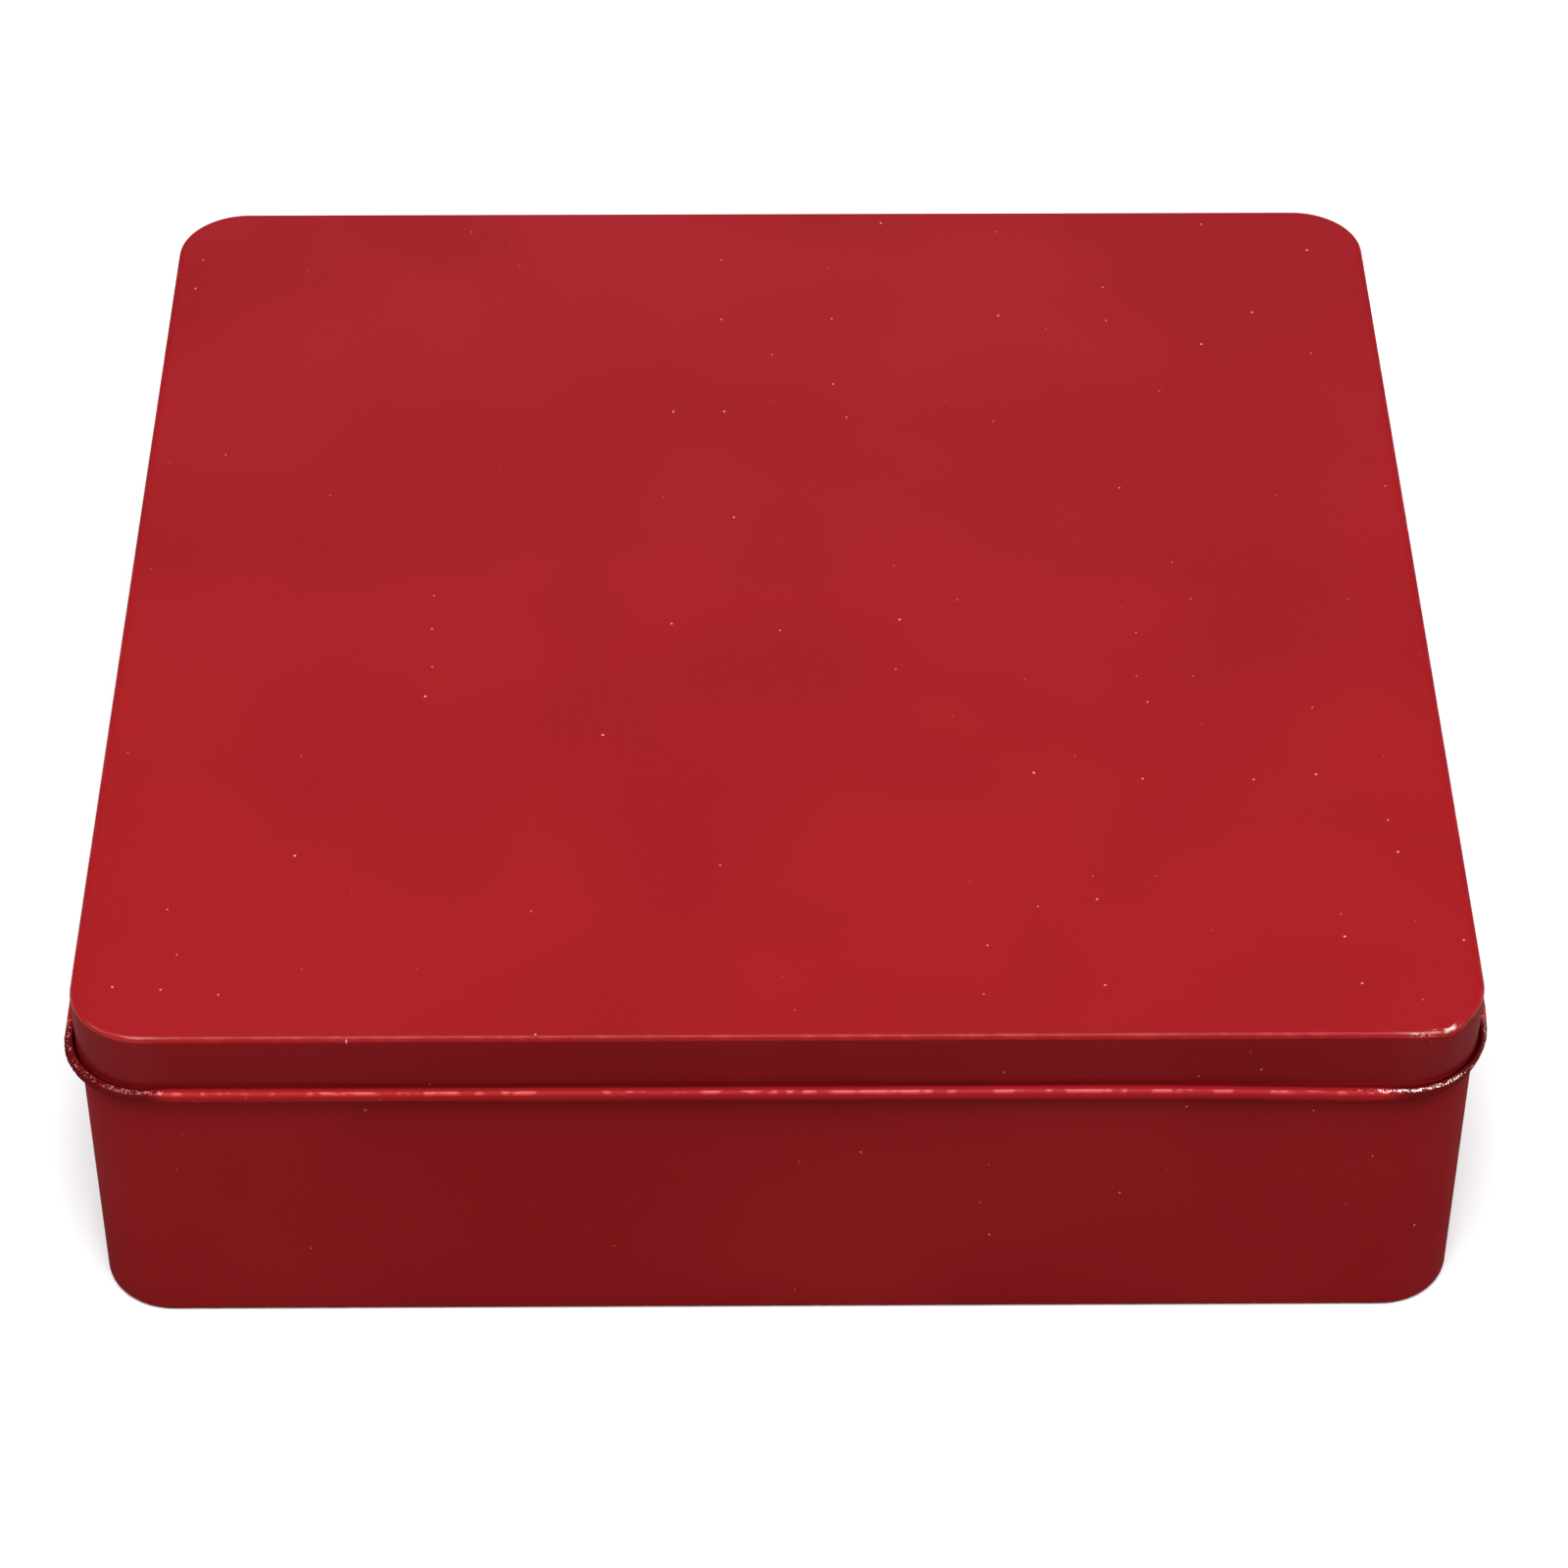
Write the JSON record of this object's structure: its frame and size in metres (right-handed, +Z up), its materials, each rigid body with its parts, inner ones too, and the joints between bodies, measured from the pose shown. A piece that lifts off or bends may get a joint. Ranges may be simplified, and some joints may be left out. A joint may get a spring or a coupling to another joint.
{
  "type": "cookie tin",
  "caption": "Square slip-lid tin of folded tinplate with rounded corners: shallow lid with a rolled edge, plain side wall, clinched base.",
  "frame": {"origin": "middle of the underside, on the surface that the tin stands on", "axes": "+Z up, out of the tin's mouth; +X to the right and -Y towards the front; the lock seam is in the middle of the +Y side"},
  "size_m": [0.23, 0.23, 0.064],
  "materials": {
    "red_lacquer": "satin red lacquer on both sides of the tinplate, rubbed pale along the rolled edges"
  },
  "bodies": {
    "tin": {"side_wall": "red_lacquer", "base": "red_lacquer"},
    "lid": {"lid": "red_lacquer"}
  },
  "joints": [
    {"name": "lid_lift", "type": "slide", "parent": "tin", "child": "lid", "axis": [0, 0, 1], "range_m": [0, 0.12]}
  ]
}
